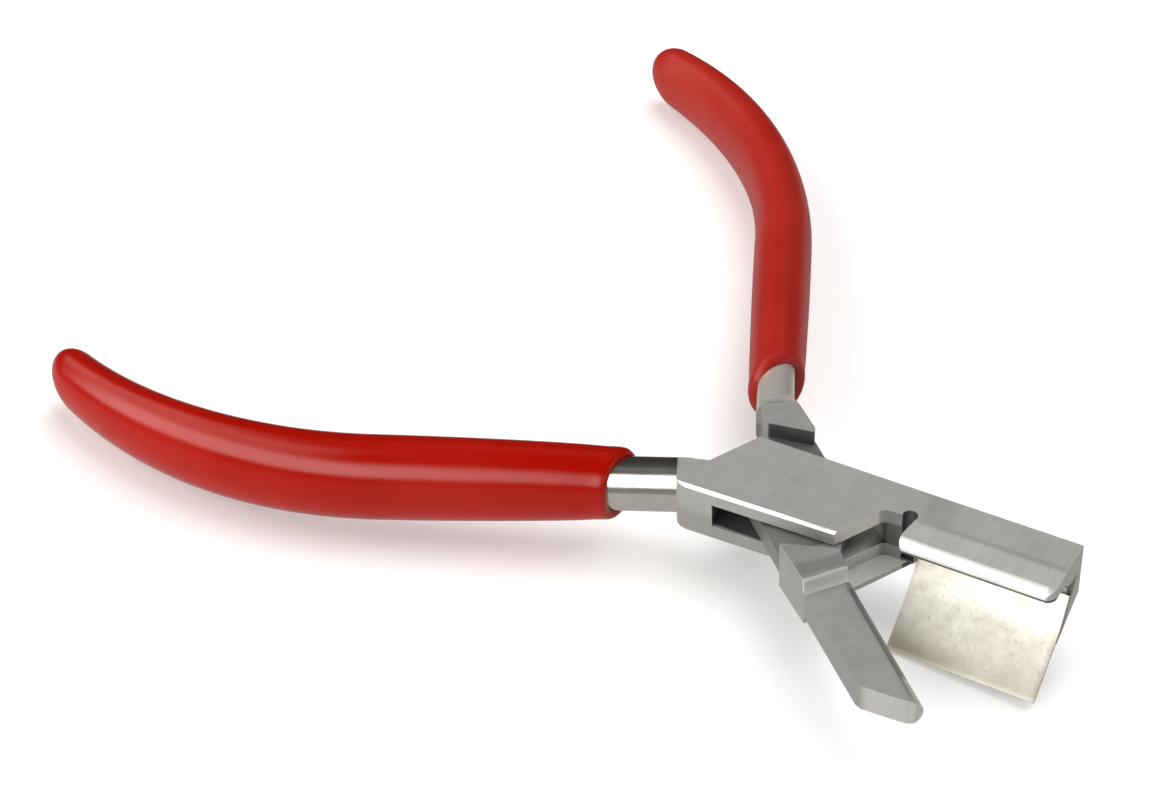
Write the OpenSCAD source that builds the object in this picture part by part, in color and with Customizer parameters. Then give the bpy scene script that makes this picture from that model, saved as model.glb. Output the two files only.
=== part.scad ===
// Box-joint running pliers with a beaded, plate-backed jaw and two dipped grips.
// Millimetres, real size. The pivot axis is Z through the origin, +X runs along the
// fixed jaw, +Y towards its back, and Z = 0 is the ground underside of the box.

/* [Body] */
// Thickness of both levers at the box joint
body_t = 8.5; // [7.5:0.5:10]
// Angle between the two jaws as they lie open
open_angle = 42; // [38:1:44]
// Pivot axis to the end of the fixed jaw
jaw_len = 40.4; // [36:0.2:46]
// Pivot axis to the straight back of the fixed jaw
jaw_back = 8.3; // [8.1:0.1:9]
// Radius of the relief hole at the root of the fixed jaw
relief_r = 1.0; // [0.6:0.1:1.2]

/* [Box joint] */
// Height of the slot that the through lever passes
slot_h = 3.9; // [3.4:0.1:4.2]
// Gap kept above and below the through lever inside the slot
slot_gap = 0.3; // [0.25:0.05:0.4]
// Radius of the pivot rivet
rivet_r = 2.2; // [1.6:0.1:2.6]
// Radial running clearance of the rivet in the through lever
rivet_gap = 0.05; // [0.02:0.01:0.09]

/* [Jaws] */
// Radius of the bead along the front edge of the fixed jaw
bead_r = 1.55; // [1.3:0.05:1.6]
// Height of the blade's underside above the box's underside
blade_z = 1.8; // [1.6:0.1:2.2]
// Thickness of the blade
blade_t = 4.3; // [3.6:0.1:4.4]
// Pivot axis to the tip of the blade
blade_len = 41.1; // [37:0.1:44]

/* [Guard plate] */
// Thickness of the guard plate
plate_t = 0.5; // [0.4:0.1:0.6]
// Slope of the free part of the guard plate below horizontal
plate_slope = 39; // [36:1:42]
// Length of the free part of the guard plate down its slope
plate_len = 10.1; // [7:0.1:12]

/* [Handles] */
// Radius of the handles' bow
bow_r = 70; // [68:1:74]
// Width of the tangs across the handles
tang_w = 4.8; // [4.4:0.2:5.4]
// Height of the tangs
tang_h = 9; // [8.6:0.2:9.4]
// Greatest width of the grips
grip_w = 9.2; // [8.8:0.2:10.4]
// Greatest height of the grips
grip_h = 14.8; // [13.8:0.2:15.6]
// Slant of the grips' rims, from the middle to either side
rim_slant = 2; // [0:0.5:2.5]

/* [Hidden] */
$fn = 64;
slot_z = (body_t - slot_h) / 2;
steel = [0.66, 0.65, 0.63];
tin = [0.86, 0.85, 0.78];
red = [0.78, 0.07, 0.04];

// fixed jaw: start of the beaded lip, bead centre line, lip underside
lip_x = 18.1;
bead_y = -1.35;
bead_a = 75;
lip_z = body_t - 2.1;
lip_corner = 1.7;
// mouth: where the guard plate's flange starts and where the plate bends
flange_y = 4.45;
flange_z = 2.3;
bend_y = 1.62;
bend_z = -2.55;
fit = 0.02;

// box: line of the throat wall, which the through lever's shoulder meets when shut
throat_a = 61.5;
throat_d = 10.6;
shoulder_d = 10.95;
box_front = -5.4;
shelf_t = 0.9;
front_a = 1.9;
edge_cut = 0.42;

// through lever: outer wall and the step down to the blade
wall_y = -4.85;
step_x = 17.6;
step_in = 17.15;
step_a = 4;
nose_y = 0.3;

// handle centre line, drawn for the box lever: a straight run, then an arc
bow_c = [-86.5, 42.3];
bow_a = 25.3;
bow_a_through = 23;
bow_turn = 49.1;
neck_x = -24;
neck_x_through = -26.1;
tang_z = body_t / 2;
tip_cover = 3.2;
slim = 0.4;

// point at distance d along the throat wall's normal, at height y
function throat_x(d, y) = (d + cos(throat_a) * y) / sin(throat_a);

// the through lever's neck is a little wider than the box lever's
function neck_w(a) = a == bow_a ? tang_w : tang_w + 0.7;

// handle path: position and heading at distance s behind the neck plane
function run_len(a) = (bow_c[0] + bow_r * sin(a)
  - (a == bow_a ? neck_x : neck_x_through)) / -cos(a);
function arc_len() = bow_r * bow_turn * PI / 180;
function head(s, a) = s < run_len(a) ? a : a - (s - run_len(a)) / bow_r * 180 / PI;
function spot(s, a) = let (r = run_len(a), h = head(s, a),
    p = bow_c + bow_r * [sin(h), -cos(h)])
  s < r ? p + (r - s) * [cos(a), sin(a)] : p;

// oval section with flat sides, upright about the path
module stadium(w, h) {
  for (k = [-1, 1]) translate([0, k * (h - w) / 2]) circle(d = w, $fn = 32);
  square([w, h - w], center = true);
}

// solid run along the handle path, from ahead of the neck to near the tip: a straight
// neck and a slightly slimmer bowed tail
module tang(a, lead, w, h, tail) {
  start = bow_c + bow_r * [sin(a), -cos(a)];
  end_a = a - bow_turn + tail / bow_r * 180 / PI;
  translate([start[0], start[1], tang_z]) rotate([0, 0, a]) rotate([90, 0, 90])
    linear_extrude(run_len(a) + lead) stadium(w, h);
  translate([bow_c[0], bow_c[1], tang_z]) rotate([0, 0, end_a - 90])
    rotate_extrude(angle = a - end_a + 1, $fn = 120) translate([bow_r, 0])
      stadium(w - slim, h - slim);
}

// grip section sizes along its length, t = 0 at the rim and 1 at the tip
function cap(t) = let (c = 0.935) t > c ? sqrt(max(0, 1 - pow((t - c) / (1 - c), 2))) : 1;
function rim(t) = t < 0.012 ? 1 - 0.1 * pow(1 - t / 0.012, 2) : 1;
function half_h(t) = cap(t) * rim(t) * (grip_h / 2 - (t < 0.55
  ? 1.75 * (1 - sin(90 * pow(t / 0.55, 0.6))) : 2 * pow((t - 0.55) / 0.45, 1.8)));
function half_w(t) = cap(t) * rim(t) * (grip_w / 2 - (t < 0.35
  ? 0.45 * (1 - sin(257 * t)) : 1.2 * pow((t - 0.35) / 0.65, 1.3)));

// dipped sleeve: rings of an oval swept along the handle path, hollow for the tang
module grip(a) {
  len = run_len(a) + arc_len();
  ring = 40;
  ts = concat([0, 0.003, 0.007, 0.012], [for (i = [1 : 30]) 0.012 + i * 0.0305],
    [for (i = [1 : 8]) 0.927 + 0.073 * sin(i * 11.2)]);
  n = len(ts);
  pts = [for (t = ts, j = [0 : ring - 1]) let (q = j * 360 / ring,
      s = t * len - rim_slant * cos(q) * pow(max(0, 1 - 3 * t), 2), p = spot(s, a),
      h = head(s, a))
    [p[0] - sin(h) * half_w(t) * cos(q), p[1] + cos(h) * half_w(t) * cos(q),
      tang_z + half_h(t) * sin(q)]];
  faces = concat([[for (j = [0 : ring - 1]) j]],
    [for (i = [0 : n - 2], j = [0 : ring - 1]) let (k = (j + 1) % ring)
      [i * ring + j, (i + 1) * ring + j, (i + 1) * ring + k, i * ring + k]],
    [[for (j = [0 : ring - 1]) n * ring - 1 - j]]);
  difference() {
    polyhedron(points = pts, faces = faces);
    tang(a, 6, neck_w(a) + 2 * fit, tang_h + 2 * fit, tip_cover - fit);
  }
}

// outline of the box lever's two cheeks, throat included
module cheek_outline() {
  polygon([[-13, 0.4], [-8.9, jaw_back], [lip_x + 0.1, jaw_back], [lip_x + 0.1, 2.6],
    [15.9, 2.6], [13.9, 2.5], [throat_x(throat_d, 2.1), 2.1],
    [throat_x(throat_d, box_front + 0.35), box_front + 0.35], [-13.5, -5.85], [-14.6, -5.7],
    [-15.4, -5.15], [-16, -4.2], [-16.5, -2.9], [-17, -0.9]]);
}

// space between the cheeks swept by the through lever, open to the front and the back
module slot_outline() {
  polygon([[-9, -8], [-10.4, -0.9], [-10.1, 1.3], [-12.6, 1.7], [-15, 3.5], [-12, 12],
    [8, 12], [9.4, 5.6], [13.8, 2.55], [18, 2.45], [14, -8]]);
}

// direction of the guard plate's flange, down its slope, and of its free part
flange_d = [bend_y - flange_y, bend_z - flange_z] / norm([bend_y - flange_y, bend_z - flange_z]);
free_d = [-cos(plate_slope), -sin(plate_slope)];

// corner of the plate's bend, set off from its back by a distance
function bend_at(d) = [bend_y, bend_z]
  + d * ([-flange_d[1], flange_d[0]] + [-free_d[1], free_d[0]]) / (1 + flange_d * free_d);
function flange_at(d) = [flange_y, flange_z] + d * [-flange_d[1], flange_d[0]];

// section of the fixed jaw: beaded lip above, mouth in front, wedge below the guard plate
module jaw_section() {
  seat = bend_at(plate_t + fit);
  difference() {
    union() {
      polygon([[jaw_back, body_t], [jaw_back, -0.15], seat + 1.4 * free_d + [0.12, -0.3],
        seat + 1.4 * free_d, seat, flange_at(plate_t + fit), [4.75, 3.4], [2.2, lip_z],
        [bead_y, lip_z], [bead_y, body_t]]);
      intersection() {
        translate([bead_y + bead_r * cos(bead_a), body_t - bead_r * sin(bead_a)])
          circle(r = bead_r);
        translate([bead_y - 3, lip_z]) square([4, body_t - lip_z]);
      }
    }
    translate([3.55, 3.75]) circle(r = 1.25);
  }
}

module box_lever() {
  color(steel) difference() {
    union() {
      linear_extrude(body_t) cheek_outline();
      // jaw, with the end of its lip cut back in a slant beside the relief hole
      difference() {
        translate([lip_x - 1.3, 0, 0]) rotate([90, 0, 90])
          linear_extrude(jaw_len - lip_x + 1.3) jaw_section();
        translate([0, 0, -12]) linear_extrude(30) polygon([[10, -12], [10, 2.7], [18, 2.7],
          [17.95, 1.6], [17.75, 0.4], [17.6, -1], [17.7, -2], [18.2, -2.6], [18.2, -12]]);
        translate([10, -12, -12]) cube([8.2, 30, 12]);
        // lip's outer corner, rounded in plan
        translate([jaw_len - lip_corner + 0.02, -0.85, 4]) difference() {
          translate([0, -4, 0]) cube([lip_corner + 1, 3.85, 5]);
          translate([0, 0, -1]) cylinder(r = lip_corner, h = 7);
        }
      }
      // shelf under the lower cheek, its front edge parallel to the throat wall
      translate([0, 0, -shelf_t]) linear_extrude(shelf_t)
        polygon([[throat_x(13.8, -6.9), -6.9], [throat_x(13.8, 4.4), 4.4], [18.3, jaw_back],
          [3, jaw_back], [3, -5.1], [8.5, -6.9]]);
      translate([4, -4, -shelf_t]) cube([6, 11, shelf_t + 0.5]);
      // neck and tang
      tang(bow_a, 10, tang_w, tang_h, tip_cover);
    }
    translate([0, 0, slot_z]) linear_extrude(slot_h) slot_outline();
    translate([17.1, 2.9, 0.4]) cylinder(r = relief_r, h = body_t);
    translate([0, 0, -1]) cylinder(r = rivet_r + fit, h = body_t + 2);
    // broken edge along the front
    translate([-16, -5.93, body_t]) rotate([0, 0, front_a]) rotate([90, 0, 90])
      linear_extrude(26) polygon([[-1, -edge_cut], [0, -edge_cut], [edge_cut, 0],
        [edge_cut, 1], [-1, 1]]);
    // neck ground flush with the box on both faces
    for (z = [body_t, -2]) translate([0, 0, z]) linear_extrude(2) polygon([[-18.3, 3],
      [-18.3, -1.9], [-17.6, -2.2], [-16.6, -2.5], [-16, -3.3], [-14, -7], [-6, -3], [-6, 3]]);
  }
}

// blade outline, its outer corner taken off by a long slant that ends in a round tip
module blade_outline() {
  difference() {
    polygon([[step_x - 2, -8], [33, -8], [35.1, wall_y + 0.2], [36.2, wall_y + 0.65],
      [blade_len - 1.9, -1.2], [blade_len - 0.6, nose_y - 0.1], [blade_len, 1.3],
      [blade_len - 0.1, 4], [step_x - 2, 4]]);
    polygon([[step_x - 3, wall_y - 0.1], [36, wall_y + 0.25], [36, -9], [step_x - 3, -9]]);
  }
}

// blade section: flat on both sides, round along the working edge
module blade_section() {
  translate([nose_y, blade_z + blade_t / 2]) circle(d = blade_t);
  translate([-6, blade_z]) square([6 + nose_y, blade_t]);
}

// a section carried along the foot of the step
module step_run() {
  translate([step_in, 1.65, blade_z + blade_t]) rotate([0, 0, step_a]) rotate([90, 0, 0])
    linear_extrude(6.55) children();
}

module through_lever() {
  low = 0.35;
  waist_h = slot_h - 2 * slot_gap;
  color(steel) rotate([0, 0, -open_angle]) difference() {
    union() {
      // waist inside the box
      translate([0, 0, slot_z + slot_gap]) linear_extrude(waist_h)
        polygon([[-14.9, 2.5], [-9.3, 2.1], [-8.3, -5.25], [9.8, -5.2], [14.3, 1.5], [13.4, 1.9],
          [8.3, 4.7], [5.5, 7.8], [4.7, jaw_back], [-12, jaw_back]]);
      // full-thickness shoulder in front of the box
      translate([0, 0, low]) linear_extrude(body_t - low)
        polygon([[throat_x(shoulder_d, wall_y - 0.45), wall_y - 0.45],
          [throat_x(shoulder_d, 1.9), 1.9], [step_in, 1.65], [step_x, wall_y]]);
      // small facet at the foot of the step
      step_run() polygon([[-0.4, -0.4], [0.5, -0.4], [0.5, 0], [0, 0.5], [-0.4, 0.5]]);
      // blade
      intersection() {
        translate([step_x - 1, 0, 0]) rotate([90, 0, 90])
          linear_extrude(blade_len - step_x + 2) blade_section();
        linear_extrude(body_t) blade_outline();
      }
      // full-thickness root behind the box, then neck and tang
      linear_extrude(body_t) polygon([[-14.6, 2.29], [-10.4, 7.8], [-11.2, jaw_back],
        [-16.7, 8.15], [-18.3, 7.9], [-19.6, 7.6], [-20.6, 3.6], [-18.8, 2.85], [-16.6, 2.45]]);
      mirror([0, 1, 0]) tang(bow_a_through, 8.2, neck_w(bow_a_through), tang_h, tip_cover);
    }
    cylinder(r = rivet_r + rivet_gap, h = body_t);
    // broken edge at the head of the step
    translate([0, 0, body_t - blade_z - blade_t])
      step_run() polygon([[-0.35, 0], [0, -0.35], [1, -0.35], [1, 1], [-0.35, 1]]);
  }
}

module pivot_rivet() {
  color(steel) cylinder(r = rivet_r, h = body_t);
}

// thin bent sheet: its flange lies on the wedge in the mouth, its free part slopes away
module guard_plate() {
  tip = [bend_y, bend_z] + plate_len * free_d;
  color(tin) translate([18.25, 0, 0]) rotate([90, 0, 90])
    linear_extrude(jaw_len - 18.25) polygon([flange_at(0), bend_at(0), tip,
      tip + plate_t * [-free_d[1], free_d[0]], bend_at(plate_t), flange_at(plate_t)]);
}

module left_grip() {
  color(red) grip(bow_a);
}

module right_grip() {
  color(red) rotate([0, 0, -open_angle]) mirror([0, 1, 0]) grip(bow_a_through);
}

box_lever();
through_lever();
pivot_rivet();
guard_plate();
left_grip();
right_grip();
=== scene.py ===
import math

import bmesh
import bpy
from mathutils import Matrix, Vector


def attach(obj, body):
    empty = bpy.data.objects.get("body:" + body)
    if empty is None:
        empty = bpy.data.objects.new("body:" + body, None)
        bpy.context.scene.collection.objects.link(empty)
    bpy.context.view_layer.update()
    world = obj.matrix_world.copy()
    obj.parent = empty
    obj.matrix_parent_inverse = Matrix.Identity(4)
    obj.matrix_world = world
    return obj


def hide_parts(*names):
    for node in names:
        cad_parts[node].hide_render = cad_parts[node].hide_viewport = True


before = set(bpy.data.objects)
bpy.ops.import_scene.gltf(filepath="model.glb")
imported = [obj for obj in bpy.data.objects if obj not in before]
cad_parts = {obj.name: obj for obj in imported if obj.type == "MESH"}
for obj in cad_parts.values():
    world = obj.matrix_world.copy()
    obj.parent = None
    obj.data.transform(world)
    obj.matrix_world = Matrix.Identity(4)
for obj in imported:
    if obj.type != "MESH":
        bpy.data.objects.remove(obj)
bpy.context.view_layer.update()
MM = 0.001

# ---------------------------------------------------------------- camera
CAM_AT = Vector((113.732, -233.422, 243.638)) * MM
CAM_RIGHT = Vector((0.86431, 0.50122, -0.04179))
CAM_UP = Vector((-0.29506, 0.57259, 0.7649))
cam_data = bpy.data.cameras.new("camera")
cam_data.lens = 76.154
cam_data.sensor_width = 36
cam_data.sensor_fit = "HORIZONTAL"
cam_data.clip_start, cam_data.clip_end = 0.01, 20
cam = bpy.data.objects.new("camera", cam_data)
bpy.context.scene.collection.objects.link(cam)
right = CAM_RIGHT.normalized()
back = right.cross(CAM_UP).normalized()
up = back.cross(right)
cam.matrix_world = Matrix.Translation(CAM_AT) @ Matrix((right, up, back)).transposed().to_4x4()
bpy.context.scene.camera = cam


# ---------------------------------------------------------------- node helpers
class Graph:
    """Builds a node tree with short calls. Noise scales are in cells per metre."""

    def __init__(self, tree):
        self.tree = tree
        self.coord = tree.nodes.new("ShaderNodeTexCoord")

    def put(self, socket, value):
        if isinstance(value, bpy.types.NodeSocket):
            self.tree.links.new(value, socket)
        else:
            socket.default_value = value

    def add(self, kind, inputs=(), **props):
        node = self.tree.nodes.new("ShaderNode" + kind)
        for key, value in props.items():
            setattr(node, key, value)
        for key, value in dict(inputs).items():
            self.put(node.inputs[key], value)
        return node

    def mapped(self, scale=(1, 1, 1), turn=(0, 0, 0)):
        return self.add("Mapping", {"Vector": self.coord.outputs["Object"],
                                    "Rotation": turn, "Scale": scale}).outputs[0]

    def turned(self, turn, scale):
        """Object coordinates turned about Z first, then stretched."""
        flat = self.mapped((1, 1, 1), (0, 0, turn))
        return self.add("Mapping", {"Vector": flat, "Scale": scale}).outputs[0]

    def noise(self, vector, scale, detail=3.0, rough=0.5, warp=0.0):
        return self.add("TexNoise", {"Vector": vector, "Scale": scale, "Detail": detail,
                                     "Roughness": rough, "Distortion": warp}).outputs[0]

    def ramp(self, value, low, high, a=0.0, b=1.0):
        return self.add("MapRange", {"Value": value, "From Min": low, "From Max": high,
                                     "To Min": a, "To Max": b}).outputs[0]

    def smooth(self, value, low, high, a=0.0, b=1.0):
        return self.add("MapRange", {"Value": value, "From Min": low, "From Max": high,
                                     "To Min": a, "To Max": b},
                        interpolation_type="SMOOTHSTEP").outputs[0]

    def math(self, op, a, b=0.0, c=0.0):
        return self.add("Math", {0: a, 1: b, 2: c}, operation=op).outputs[0]

    def total(self, first, *others):
        for value in others:
            first = self.math("ADD", first, value)
        return first

    def product(self, first, *others):
        for value in others:
            first = self.math("MULTIPLY", first, value)
        return first

    def inverse(self, mask):
        return self.math("SUBTRACT", 1.0, mask)

    def either(self, a, b):
        return self.math("MAXIMUM", a, b)

    def mix(self, factor, a, b):
        """Colour a outside the mask, colour b inside it."""
        return self.add("Mix", {0: factor, 6: a, 7: b}, data_type="RGBA").outputs[2]

    def swap(self, mask, old, new):
        """Number old outside the mask, new inside it."""
        return self.add("Mix", {0: mask, 2: old, 3: new}, data_type="FLOAT").outputs[0]

    def bump(self, height, distance, strength=1.0, normal=None):
        sockets = {"Height": height, "Distance": distance, "Strength": strength}
        if normal is not None:
            sockets["Normal"] = normal
        return self.add("Bump", sockets).outputs[0]


class Surface(Graph):
    """A new material with one Principled shader."""

    def __init__(self, name):
        self.mat = bpy.data.materials.new(name)
        self.mat.use_nodes = True
        tree = self.mat.node_tree
        tree.nodes.clear()
        out = tree.nodes.new("ShaderNodeOutputMaterial")
        self.bsdf = tree.nodes.new("ShaderNodeBsdfPrincipled")
        tree.links.new(self.bsdf.outputs[0], out.inputs[0])
        super().__init__(tree)

    def shader(self, **inputs):
        for key, value in inputs.items():
            self.put(self.bsdf.inputs[key.replace("_", " ")], value)
        return self.mat


def rgb(r, g, b):
    """Linear colour of an sRGB triple given from 0 to 255."""
    line = [c / 255 / 12.92 if c < 10 else ((c / 255 + 0.055) / 1.055) ** 2.4 for c in (r, g, b)]
    return (*line, 1.0)


# ---------------------------------------------------------------- sizes in millimetres
BOW_CENTRE = (-86.5, 42.3)
BOW_RADIUS = 70.0
BOW_TURN = math.radians(49.1)
BOX_BOW, LEVER_BOW = math.radians(25.3), math.radians(23.0)
BOX_NECK_X, LEVER_NECK_X = -24.0, -26.1
OPEN = math.radians(42.0)
TANG_Z = 4.25
BOX_NECK_HALF, LEVER_NECK_HALF, NECK_HALF_H = 2.4, 2.75, 4.5
GRIP_HALF_W, GRIP_HALF_H = 4.6, 7.4

# heights and places on the levers that their materials mark out
TOP_Z = 8.3
SLOT_Z = (2.24, 6.26)
JAW_X, JAW_END_X = 17.0, 39.8
LIP_Y, BEAD_Z = -0.8, (6.3, 6.9)
RELIEF_AT, RELIEF_R = (17.1, 2.9), 1.1
MOUTH_AT, MOUTH_R = (3.55, 3.75), 1.3
BLADE_Z, STEP_X = 6.1, (17.0, 18.3)
WAIST_X, RISER_X = (-14.5, 9.3), (-14.5, -9.0)

# guard plate, as (y, z) in its cross-section
FLANGE_TOP, PLATE_BEND = Vector((4.45, 2.3)), Vector((1.62, -2.55))
PLATE_SLOPE = math.radians(39)
PLATE_FREE, PLATE_T, PLATE_BEND_R = 10.1, 0.5, 9.0
PLATE_X = (18.25, 40.4)


# ---------------------------------------------------------------- masks
class Spots:
    """Places on a piece, in millimetres, for a material's masks."""

    def __init__(self, g, turn=0.0):
        self.g = g
        scaled = g.mapped((1 / MM, 1 / MM, 1 / MM), (0, 0, turn))
        split = g.add("SeparateXYZ", {0: scaled})
        self.x, self.y, self.z = split.outputs[0], split.outputs[1], split.outputs[2]
        facing = g.add("SeparateXYZ", {0: g.coord.outputs["Normal"]})
        self.up = g.math("ABSOLUTE", facing.outputs[2])
        self.flat = g.smooth(self.up, 0.8, 0.97)
        self.upward = g.smooth(facing.outputs[2], 0.8, 0.97)

    def above(self, value, edge, soft=0.1):
        return self.g.smooth(value, edge - soft, edge + soft)

    def below(self, value, edge, soft=0.1):
        return self.g.smooth(value, edge - soft, edge + soft, 1.0, 0.0)

    def between(self, value, low, high, soft=0.1):
        return self.g.product(self.above(value, low, soft), self.below(value, high, soft))

    def line(self, u, v, cu, cv):
        """u * cu + v * cv, a distance along or across a direction."""
        return self.g.total(self.g.product(u, cu), self.g.product(v, cv))

    def near(self, u, v, centre, radius, soft=0.1):
        du = self.g.math("SUBTRACT", u, centre[0])
        dv = self.g.math("SUBTRACT", v, centre[1])
        square = self.g.total(self.g.product(du, du), self.g.product(dv, dv))
        return self.below(self.g.math("SQRT", square), radius, soft)


class Tone:
    """A brightness, painted over one place after another."""

    def __init__(self, g, value):
        self.g, self.value = g, value

    def paint(self, value, *masks):
        self.value = self.g.swap(self.g.product(*masks), self.value, value)


# ---------------------------------------------------------------- steel
STEEL_TINT = (1.0, 0.982, 0.945, 1)
NECK_TINT = (1.0, 0.95, 0.86, 1)
BLACK = (0, 0, 0, 1)


def steel(name, turn, tones, neck, neck_level, neck_shine):
    """Ground steel with polished parts.

    tones(spots) gives the brightness and polish of each face, neck(spots) the polished neck.
    Fine grinding lines run across the tool, with cloudy wear and a few scratches over them.
    """
    g = Surface(name)
    spots = Spots(g, turn)
    fine = g.noise(g.turned(turn, (3600, 130, 900)), 1.0, 3.0, 0.75)
    broad = g.noise(g.turned(turn, (700, 40, 250)), 1.0, 2.0, 0.5)
    cloud = g.noise(g.mapped(), 170.0, 4.0, 0.6)
    grit = g.noise(g.mapped(), 3200.0, 2.0, 0.5)
    scratch = g.noise(g.turned(turn + 0.5, (2600, 45, 900)), 1.0, 1.0, 0.3)

    level, shiny = tones(spots)
    polished = neck(spots)
    level = g.swap(polished, level, neck_level)
    # a painted dark reflection band runs along a shiny neck, under its highlight
    line = g.product(polished, spots.between(spots.z, 4.5, 5.5, 0.35), neck_shine)
    level = g.swap(line, level, 0.42)
    shiny = g.either(shiny, g.product(polished, neck_shine))
    treated = g.either(shiny, polished)
    # the ground flats scatter more than the walls, so they keep their grey from every side
    ground = g.product(spots.flat, g.inverse(treated))
    level = g.product(level, g.swap(ground, 1.0, 0.57))

    wear = g.total(g.ramp(fine, 0.3, 0.7, -0.06, 0.06), g.ramp(broad, 0.3, 0.7, -0.02, 0.02),
                   g.ramp(cloud, 0.25, 0.75, -0.07, 0.07), g.ramp(grit, 0.35, 0.65, -0.03, 0.03),
                   g.smooth(scratch, 0.66, 0.78, 0.0, 0.08))
    calm = g.either(g.product(shiny, 0.5), g.product(polished, 0.7))
    wear = g.product(wear, g.inverse(calm))
    shade = g.product(level, g.total(wear, 1.0))
    colour = g.mix(shade, BLACK, g.mix(polished, STEEL_TINT, NECK_TINT))

    satin = g.total(g.ramp(cloud, 0.2, 0.8, 0.31, 0.41), g.ramp(fine, 0.2, 0.8, -0.04, 0.04))
    rough = g.swap(shiny, satin, g.ramp(cloud, 0.2, 0.8, 0.2, 0.27))
    metal = g.swap(shiny, g.swap(ground, 0.55, 0.2), 1.0)
    depth = g.product(g.inverse(treated), 0.35)
    normal = g.bump(fine, 0.00002, depth, g.bump(grit, 0.00001, depth))
    normal = g.bump(flank(spots), MM, g.product(polished, neck_shine), normal)
    return g.shader(Base_Color=colour, Metallic=metal, Roughness=rough, Normal=normal)


def flank(spots):
    """Height in millimetres of a polished neck's flank, which leans in towards the top."""
    return spots.g.smooth(spots.z, 4.8, 7.5, 0.0, -0.66)


def neck_mask(angle, offset, start, half):
    """Mask of a round neck: within its width of the handle line and behind the box.

    Its edge is drawn back towards the bottom, and the flat top beside it stays ground.
    """
    def mask(spots):
        g = spots.g
        along = spots.line(spots.x, spots.y, math.cos(angle), math.sin(angle))
        across = spots.line(spots.x, spots.y, -math.sin(angle), math.cos(angle))
        wide = spots.between(across, offset - half - 0.1, offset + half + 0.1, 0.05)
        drawn_back = g.total(along, g.smooth(spots.z, 0.0, 5.0, 1.2, 0.0))
        flat_top = g.product(spots.flat, spots.above(along, start - 0.5, 0.1))
        return g.product(wide, spots.below(drawn_back, start, 0.15), g.inverse(flat_top))
    return mask


def box_tones(spots):
    """Brightness and polish of the box lever's faces, with painted shade and painted highlights."""
    g = spots.g
    x, y, z = spots.x, spots.y, spots.z
    wall = g.inverse(spots.flat)
    tone = Tone(g, g.swap(spots.flat, 0.42, 0.54))

    # top of the jaw: a darker band across its root, and a painted reflection of a rounded inner
    # edge: a bright lip with a darker line along it
    top = g.product(spots.flat, spots.above(z, TOP_Z))
    root = spots.between(spots.line(x, y, 1.0, 0.28), 19.6, 24.0, 1.6)
    tone.paint(0.45, top, root)
    tone.paint(0.64, top, spots.above(x, 17.5, 0.8), spots.below(y, 2.1, 0.5))
    tone.paint(0.45, top, spots.above(x, 20, 1.5), spots.between(y, 2.3, 3.1, 0.4))

    # front of the box, darker towards the bottom
    front = g.swap(spots.above(z, 4.0, 1.0), 0.32, 0.4)
    tone.paint(front, wall, spots.below(y, -5.0), spots.below(x, 9.0))

    # throat between box and jaw: painted shade, darker at its inner corner
    throat = g.swap(spots.above(y, 1.9, 0.4), 0.6, 0.26)
    tone.paint(throat, wall, spots.between(x, 7.9, 18.4), spots.between(y, -5.0, 3.4),
               spots.above(z, -0.05, 0.03))

    # end of the jaw: painted shade, dark just behind the guard plate
    down = (PLATE_BEND - FLANGE_TOP).normalized()
    from_plate = spots.line(g.math("SUBTRACT", y, FLANGE_TOP.x),
                            g.math("SUBTRACT", z, FLANGE_TOP.y), -down.y, down.x)
    tone.paint(g.smooth(from_plate, 0.0, 1.9, 0.08, 0.42), wall,
               spots.above(x, JAW_END_X), spots.below(z, 4.6, 0.4))

    # painted shade inside the slot, less of it between x 5 and 12.5, and in the relief hole;
    # painted light on the shelf
    slot = g.swap(spots.between(x, 5.0, 12.5, 1.2), 0.12, 1.0)
    tone.paint(slot, spots.between(z, *SLOT_Z, 0.02), spots.between(y, -5.2, 8.0),
               spots.below(x, 18.12, 0.02), spots.above(x, -12.8))
    tone.paint(0.1, spots.near(x, y, RELIEF_AT, RELIEF_R, 0.05))
    tone.paint(1.46, spots.upward, spots.between(z, -0.1, 0.1, 0.03))

    # chamfer and bead polished and painted bright for their white highlight; a painted shadow line
    # under the bead and painted shade in the mouth
    lip = g.product(spots.above(x, JAW_X), spots.below(y, LIP_Y, 0.1))
    chamfer = g.product(spots.between(spots.up, 0.3, 0.85, 0.08), spots.above(z, 8.0, 0.05),
                        spots.below(y, -4.9, 0.1), spots.below(x, 9.5))
    bead = g.product(lip, spots.below(spots.up, 0.985, 0.008), spots.below(x, 39.3, 0.25),
                     spots.above(z, BEAD_Z[1], 0.06))
    tone.paint(1.0, g.either(chamfer, bead))
    under = g.product(lip, spots.between(z, *BEAD_Z, 0.06))
    mouth = g.product(spots.near(y, z, MOUTH_AT, MOUTH_R, 0.04), spots.above(x, 18.0))
    tone.paint(0.12, g.either(under, mouth))
    return tone.value, g.either(chamfer, g.product(bead, 0.25))


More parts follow.
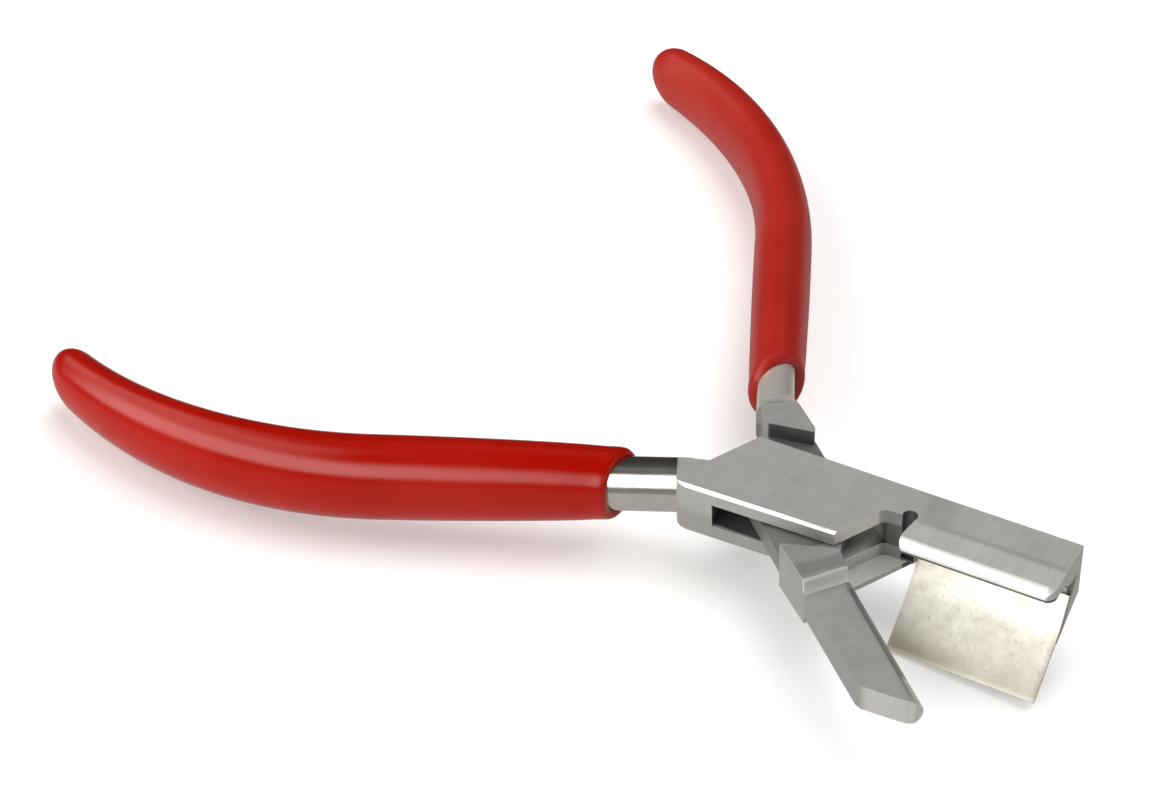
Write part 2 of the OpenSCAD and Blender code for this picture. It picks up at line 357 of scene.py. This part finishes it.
def lever_tones(spots):
    """Brightness and polish of the through lever's faces, in the lever's own direction, with
    painted shade and painted highlights.
    """
    g = spots.g
    x, y, z = spots.x, spots.y, spots.z
    wall = g.inverse(spots.flat)
    side = g.swap(spots.above(x, 17.7, 0.2), 0.34, 0.3)
    tone = Tone(g, g.swap(spots.flat, side, 0.46))

    # shoulder block with a darker band across it, blade, and the step between them, painted lighter
    # as it faces the light
    darker_band = g.swap(spots.between(x, 14.3, 16.6, 0.6), 0.41, 0.31)
    tone.paint(darker_band, spots.flat, spots.above(z, TOP_Z), spots.above(x, 0.0))
    tone.paint(0.46, spots.flat, spots.between(z, BLADE_Z - 0.1, BLADE_Z + 0.1, 0.05))
    tone.paint(0.6, wall, spots.between(x, *STEP_X, 0.1), spots.above(z, BLADE_Z, 0.05))

    # blade's rounded side, with painted shade, and its end
    tone.paint(0.2, spots.above(x, 18.4), spots.above(y, 1.0, 0.15), spots.below(x, 39.5, 0.6))
    tone.paint(0.48, wall, spots.above(x, 36.3, 0.6))

    # painted shade on the riser behind the box and on the waist inside its slot
    tone.paint(0.11, wall, spots.between(x, *RISER_X), spots.below(y, 8.2, 0.1),
               spots.above(z, 5.8))
    waist = g.swap(spots.flat, 0.21, 0.24)
    tone.paint(waist, spots.between(z, 2.3, 5.95, 0.03), spots.between(x, *WAIST_X))

    # painted highlights along the edges of the step and, fainter, of the blade, which are also made
    # a little shinier
    step_highlight = g.product(spots.between(x, 16.9, 18.2, 0.05), spots.above(z, BLADE_Z + 0.02, 0.03))
    blade_highlight = g.product(spots.above(x, 18.2), spots.below(y, -2.0), 0.7)
    edges = g.product(g.either(step_highlight, blade_highlight), spots.between(spots.up, 0.2, 0.96, 0.03))
    tone.paint(1.0, edges)
    return tone.value, g.product(edges, 0.3)


# ---------------------------------------------------------------- other materials
def tinned_sheet(name):
    """Dull tinned plate: cream blotches, brown stains, fine specks, with painted shade at its low
    end and lower corner.
    """
    g = Surface(name)
    spots = Spots(g)
    blotch = g.noise(g.mapped(), 330.0, 5.0, 0.68, 0.3)
    stain = g.noise(g.mapped((1, 1, 1), (0.4, 0.2, 1.1)), 170.0, 3.0, 0.6, 0.3)
    fleck = g.noise(g.mapped(), 1700.0, 3.0, 0.65)
    base = g.mix(g.smooth(blotch, 0.3, 0.7), rgb(228, 224, 212), rgb(248, 246, 238))
    colour = g.mix(g.smooth(stain, 0.5, 0.72, 0.0, 0.35), base, rgb(214, 198, 166))
    colour = g.mix(g.smooth(fleck, 0.56, 0.7, 0.0, 0.35), colour, rgb(176, 169, 154))
    colour = g.mix(g.smooth(fleck, 0.28, 0.42, 0.35, 0.0), colour, rgb(252, 251, 246))
    # painted shade: darker towards the lower corner and towards the low end
    corner = spots.line(spots.x, spots.y, 0.6, 1.6)
    colour = g.mix(g.smooth(corner, 0.0, 12.0, 0.98, 0.0), colour, rgb(70, 66, 56))
    colour = g.mix(g.smooth(spots.z, -9.5, -3.5, 0.55, 0.0), colour, rgb(165, 158, 142))
    roughness = g.ramp(blotch, 0.25, 0.75, 0.62, 0.52)
    return g.shader(Base_Color=colour, Metallic=0.95, Roughness=roughness,
                    Normal=g.bump(blotch, 0.0001, 0.15, g.bump(fleck, 0.00002, 0.3)))


def dipped_vinyl(name, low, high, gloss):
    """Dipped vinyl: slow waves, faint orange peel, pores and slightly uneven red."""
    g = Surface(name)
    cloud = g.noise(g.mapped(), 45.0, 3.0, 0.5)
    peel = g.noise(g.mapped(), 300.0, 2.0, 0.4)
    pores = g.noise(g.mapped(), 2600.0, 2.0, 0.5)
    colour = g.mix(g.smooth(cloud, 0.3, 0.7), low, high)
    colour = g.mix(g.smooth(pores, 0.6, 0.75, 0.0, 0.25), colour, rgb(122, 8, 3))
    roughness = g.total(g.ramp(cloud, 0.2, 0.8, gloss, gloss + 0.08),
                        g.ramp(pores, 0.3, 0.7, -0.02, 0.02))
    return g.shader(Base_Color=colour, Roughness=roughness, IOR=1.4,
                    Specular_Tint=(1.0, 0.86, 0.83, 1),
                    Normal=g.bump(peel, 0.0002, 0.12, g.bump(pores, 0.00001, 0.15)))


def floor_paint(name):
    """Pale paint, glowing a little more far away, where the lamp no longer reaches."""
    g = Surface(name)
    away = g.add("VectorMath", {0: g.coord.outputs["Object"]}, operation="LENGTH").outputs["Value"]
    cloud = g.noise(g.mapped(), 6.0, 2.0, 0.5)
    colour = g.mix(cloud, (0.84, 0.84, 0.835, 1), (0.86, 0.86, 0.86, 1))
    return g.shader(Base_Color=colour, Roughness=0.9, Emission_Color=(1, 1, 1, 1),
                    Emission_Strength=g.smooth(away, 0.4, 1.6, 0.15, 0.9))


box_neck = neck_mask(BOX_BOW, 5.2, -15.6, BOX_NECK_HALF)
lever_neck = neck_mask(-LEVER_BOW, -2.73, -19.0, LEVER_NECK_HALF)
box_steel = steel("box_steel", 0.0, box_tones, box_neck, 0.8, 1.0)
lever_steel = steel("lever_steel", OPEN, lever_tones, lever_neck, 0.66, 0.2)
tin = tinned_sheet("tin")
vinyl = dipped_vinyl("vinyl", rgb(143, 10, 0), rgb(150, 15, 4), 0.14)
worn_vinyl = dipped_vinyl("worn_vinyl", rgb(142, 22, 14), rgb(150, 30, 20), 0.34)


# ---------------------------------------------------------------- CAD nodes
EDGE = 0.12


def dress(node, material, edge=None):
    """Gives a CAD node its material and, if edge is set, rounds its sharp edges by it."""
    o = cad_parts[node]
    o.data.materials.clear()
    o.data.materials.append(material)
    if edge:
        flat = o.modifiers.new("flat", "DECIMATE")
        flat.decimate_type = "DISSOLVE"
        flat.angle_limit = math.radians(0.6)
        soft = o.modifiers.new("bevel", "BEVEL")
        soft.width = edge * MM
        soft.segments = 3
        soft.limit_method = "ANGLE"
        soft.angle_limit = math.radians(28)
        soft.use_clamp_overlap = True
        soft.harden_normals = True


dress("box_lever", box_steel, EDGE)
dress("through_lever", lever_steel, EDGE)
dress("pivot_rivet", box_steel)


# ---------------------------------------------------------------- grips
def mesh_object(name, verts, faces, material):
    """A smooth-shaded object from millimetre points."""
    mesh = bpy.data.meshes.new(name)
    mesh.from_pydata([Vector(v) * MM for v in verts], [], faces)
    bm = bmesh.new()
    bm.from_mesh(mesh)
    bmesh.ops.remove_doubles(bm, verts=bm.verts, dist=1e-6)
    bmesh.ops.recalc_face_normals(bm, faces=bm.faces)
    bm.to_mesh(mesh)
    bm.free()
    for poly in mesh.polygons:
        poly.use_smooth = True
    mesh.materials.append(material)
    o = bpy.data.objects.new(name, mesh)
    bpy.context.scene.collection.objects.link(o)
    return o


RING = 72  # points round a sleeve
RIM_SLANT = 2.0  # how far the rim leans along the handle
RIM_EDGE = 0.9  # how far back the rolled edge reaches
BORE_DEPTH = 4  # how far the start of the bore shows
TIP_AT = 0.935  # part of the length where the tip starts to close
TALLEST_AT, WIDEST_AT = 0.55, 0.35  # parts of the length where the sleeve is fattest
TIP_RINGS = 24


def grip_half_sizes(t):
    """Half width and half height of a sleeve, a part t of its length behind the rim."""
    close = 1.0
    if t > TIP_AT:
        close = math.sqrt(max(0.0, 1 - ((t - TIP_AT) / (1 - TIP_AT)) ** 2))
    if t < TALLEST_AT:
        lower = 1.75 * (1 - math.sin(math.pi / 2 * (max(t, 0) / TALLEST_AT) ** 0.6))
    else:
        lower = 2 * ((t - TALLEST_AT) / (1 - TALLEST_AT)) ** 1.8
    if t < WIDEST_AT:
        slimmer = 0.45 * (1 - math.sin(math.radians(257 * max(t, 0))))
    else:
        slimmer = 1.2 * ((t - WIDEST_AT) / (1 - WIDEST_AT)) ** 1.3
    return close * (GRIP_HALF_W - slimmer), close * (GRIP_HALF_H - lower)


def grip_rings(length):
    """Rings of a sleeve as (distance behind the rim, blend towards the bore), bore first."""
    rings = [(float(BORE_DEPTH - i), 1.0) for i in range(BORE_DEPTH)]
    for i in range(11):
        f = math.radians(90 - 9 * i)
        rings.append((RIM_EDGE * (1 - math.sin(f)), 1 - 1.02 * math.cos(f)))
    rings += [(1.3, -0.045), (1.8, -0.035), (2.4, 0.0), (3.2, 0.02), (4.2, 0.015), (5.5, 0.0)]
    s = 7.0
    while s < length * 0.93:
        rings.append((s, 0.0))
        s += 1.0
    for i in range(TIP_RINGS + 1):
        close = math.sin(math.pi / 2 * i / TIP_RINGS)
        rings.append((length * (TIP_AT + (1 - TIP_AT) * close), 0.0))
    return rings


def grip(name, bow, neck_x, neck_half, place, material):
    """Dipped sleeve: rings swept along the handle, a rolled rim and the start of its bore."""
    bow_x = BOW_CENTRE[0] + BOW_RADIUS * math.sin(bow)
    bow_y = BOW_CENTRE[1] - BOW_RADIUS * math.cos(bow)
    run = (neck_x - bow_x) / math.cos(bow)
    length = run + BOW_RADIUS * BOW_TURN

    def spot(s):
        """Place and heading of the handle's middle line, a distance s behind the rim."""
        if s < run:
            return bow_x + (run - s) * math.cos(bow), bow_y + (run - s) * math.sin(bow), bow
        h = bow - (s - run) / BOW_RADIUS
        return BOW_CENTRE[0] + BOW_RADIUS * math.sin(h), BOW_CENTRE[1] - BOW_RADIUS * math.cos(h), h

    rings = grip_rings(length)
    verts = []
    for dist, bore in rings:
        t = min(1.0, dist / length)
        hw, hh = grip_half_sizes(t)
        lean = RIM_SLANT * max(0.0, 1 - 3 * t) ** 2
        for j in range(RING):
            q = 2 * math.pi * j / RING
            x, y, h = spot(max(dist - lean * math.cos(q), -5.0))
            rise = (NECK_HALF_H - neck_half) * max(-1.0, min(1.0, 5 * math.sin(q)))
            across = (1 - bore) * hw * math.cos(q) + bore * neck_half * math.cos(q)
            upward = (1 - bore) * hh * math.sin(q) + bore * (neck_half * math.sin(q) + rise)
            p = Vector((x - math.sin(h) * across, y + math.cos(h) * across, TANG_Z + upward))
            verts.append(place @ p)
    faces = []
    for i in range(len(rings) - 1):
        for j in range(RING):
            k = (j + 1) % RING
            faces.append((i * RING + j, (i + 1) * RING + j, (i + 1) * RING + k, i * RING + k))
    return mesh_object(name, verts, faces, material)


left = grip("left_sleeve", BOX_BOW, BOX_NECK_X, BOX_NECK_HALF, Matrix.Identity(4), vinyl)
right_place = Matrix.Rotation(-OPEN, 4, "Z") @ Matrix.Scale(-1, 4, (0, 1, 0))
right_sleeve = grip("right_sleeve", LEVER_BOW, LEVER_NECK_X, LEVER_NECK_HALF, right_place,
                    worn_vinyl)
for sleeve, node, body in ((left, "left_grip", "fixed_lever"),
                           (right_sleeve, "right_grip", "moving_lever")):
    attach(sleeve, body)
    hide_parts(node)


# ---------------------------------------------------------------- guard plate
PLATE_COLS = 24
BEND_STEPS = 12
FREE_STEPS = 10
PLATE_SAG = 0.05


def plate_line():
    """Cross-section of the sheet's outer face: flange, soft bend, free leaf."""
    down = (PLATE_BEND - FLANGE_TOP).normalized()
    free = Vector((-math.cos(PLATE_SLOPE), -math.sin(PLATE_SLOPE)))
    turn = down.angle(free)
    reach = PLATE_BEND_R * math.tan(turn / 2)
    line = [FLANGE_TOP + down * d for d in (0.0, 1.5, 3.0)]
    inward = Vector((-down.y, down.x))
    if inward.dot(free) < 0:
        inward = -inward
    centre = PLATE_BEND - down * reach + inward * PLATE_BEND_R
    for i in range(BEND_STEPS + 1):
        f = turn * i / BEND_STEPS
        line.append(centre - inward * PLATE_BEND_R * math.cos(f)
                    + down * PLATE_BEND_R * math.sin(f))
    rest = PLATE_FREE - reach
    line += [PLATE_BEND + free * (reach + rest * i / FREE_STEPS) for i in range(1, FREE_STEPS + 1)]
    return line


def guard_plate():
    """Thin sheet with a soft bend, a trace of bow and rolled burrs, swept along the jaw."""
    line = plate_line()
    n = len(line)
    verts, faces = [], []
    for i in range(PLATE_COLS + 1):
        x = PLATE_X[0] + (PLATE_X[1] - PLATE_X[0]) * i / PLATE_COLS
        for k, p in enumerate(line):
            sag = PLATE_SAG * math.sin(math.pi * i / PLATE_COLS) * max(0, k - 14) / 12
            verts.append((x, p.x, p.y + sag))
    for i in range(PLATE_COLS):
        for k in range(n - 1):
            faces.append((i * n + k, (i + 1) * n + k, (i + 1) * n + k + 1, i * n + k + 1))
    o = mesh_object("guard_sheet", verts, faces, tin)
    if o.data.polygons[0].normal.z < 0:
        o.data.flip_normals()
    solid = o.modifiers.new("thickness", "SOLIDIFY")
    solid.thickness = PLATE_T * MM
    solid.offset = -1
    soft = o.modifiers.new("bevel", "BEVEL")
    soft.width = 0.06 * MM
    soft.segments = 2
    soft.limit_method = "ANGLE"
    soft.angle_limit = math.radians(50)
    return o


sheet = guard_plate()
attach(sheet, "fixed_lever")
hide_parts("guard_plate")


# ---------------------------------------------------------------- floor
FLOOR_HALF = 12.0  # metres
FLOOR_GAP = 0.5 * MM


def lowest(o, way):
    return min((v.co for v in o.data.vertices), key=lambda c: c.dot(way))


def resting_tilt(*pieces):
    """Upward normal of the plane that three pieces rest on."""
    tilt = Vector((0, 0, 1))
    for _ in range(6):
        a, b, c = (lowest(o, tilt) for o in pieces)
        tilt = (b - a).cross(c - a).normalized()
        if tilt.z < 0:
            tilt = -tilt
    return tilt


# the pliers rest on the guard plate's edge and on both grips, so the floor leans a little
tilt = resting_tilt(sheet, left, right_sleeve)
bm = bmesh.new()
bmesh.ops.create_grid(bm, x_segments=8, y_segments=8, size=FLOOR_HALF)
mesh = bpy.data.meshes.new("floor")
bm.to_mesh(mesh)
bm.free()
floor = bpy.data.objects.new("floor", mesh)
bpy.context.scene.collection.objects.link(floor)
floor.rotation_mode = "QUATERNION"
floor.rotation_quaternion = tilt.to_track_quat("Z", "Y")
floor.location = tilt * (lowest(sheet, tilt).dot(tilt) - FLOOR_GAP)
floor.data.materials.append(floor_paint("floor_paint"))
floor.visible_glossy = False


# ---------------------------------------------------------------- light
def softbox(name, azimuth, elevation, distance, size, power):
    """A rectangular area light facing the pivot. Azimuth 0 is at -Y and 90 at +X."""
    a, e = math.radians(azimuth), math.radians(elevation)
    way = Vector((math.sin(a) * math.cos(e), -math.cos(a) * math.cos(e), math.sin(e)))
    lamp = bpy.data.lights.new(name, "AREA")
    lamp.shape = "RECTANGLE"
    lamp.size, lamp.size_y = size
    lamp.energy = power
    o = bpy.data.objects.new(name, lamp)
    bpy.context.scene.collection.objects.link(o)
    o.location = way * distance
    o.rotation_euler = way.to_track_quat("Z", "Y").to_euler()
    return o


overhead = softbox("overhead", 160, 62, 1.1, (1.2, 1.2), 15)
overhead.visible_glossy = False

world = bpy.data.worlds.new("studio")
bpy.context.scene.world = world
world.use_nodes = True
sky = Graph(world.node_tree)
way = sky.add("SeparateXYZ", {0: sky.coord.outputs["Generated"]})
height = way.outputs["Z"]
azimuth = sky.math("ARCTAN2", way.outputs["X"], sky.product(way.outputs["Y"], -1.0))


def panel(az, half_az, soft_az, low, high, soft, level):
    """Light from a soft-edged panel of the studio round azimuth az, between two heights."""
    off = sky.math("SUBTRACT", azimuth, math.radians(az))
    off = sky.math("ABSOLUTE", sky.math("WRAP", off, math.pi, -math.pi))
    side = sky.smooth(off, math.radians(half_az - soft_az), math.radians(half_az + soft_az), 1, 0)
    low_side = sky.smooth(height, low - soft[0], low + soft[0])
    high_side = sky.smooth(height, high - soft[1], high + soft[1], 1, 0)
    return sky.product(side, level, low_side, high_side)


FAINT = 0.04
light = sky.total(
    # in front of the tool: the white line on the chamfer, bead and neck
    panel(-18, 42, 14, -0.07, 0.4, (0.05, 0.14), 5.0),
    # high on the left: the sheen along the grips
    panel(-50, 48, 14, 0.36, 0.9, (0.2, 0.1), 2.0),
    # low on the right: the ends of the jaws
    panel(64, 56, 20, -0.07, 0.3, (0.1, 0.1), 0.7),
    # the floor as polished steel sees it, and a faint light from everywhere
    sky.smooth(height, -0.32, -0.22, 0.42, 0.0),
    FAINT)
background = sky.tree.nodes["Background"]
background.inputs["Color"].default_value = (1.0, 0.985, 0.96, 1)
sky.tree.links.new(light, background.inputs["Strength"])

scene = bpy.context.scene
scene.view_settings.view_transform = "Standard"
scene.view_settings.look = "None"
scene.cycles.use_denoising = True
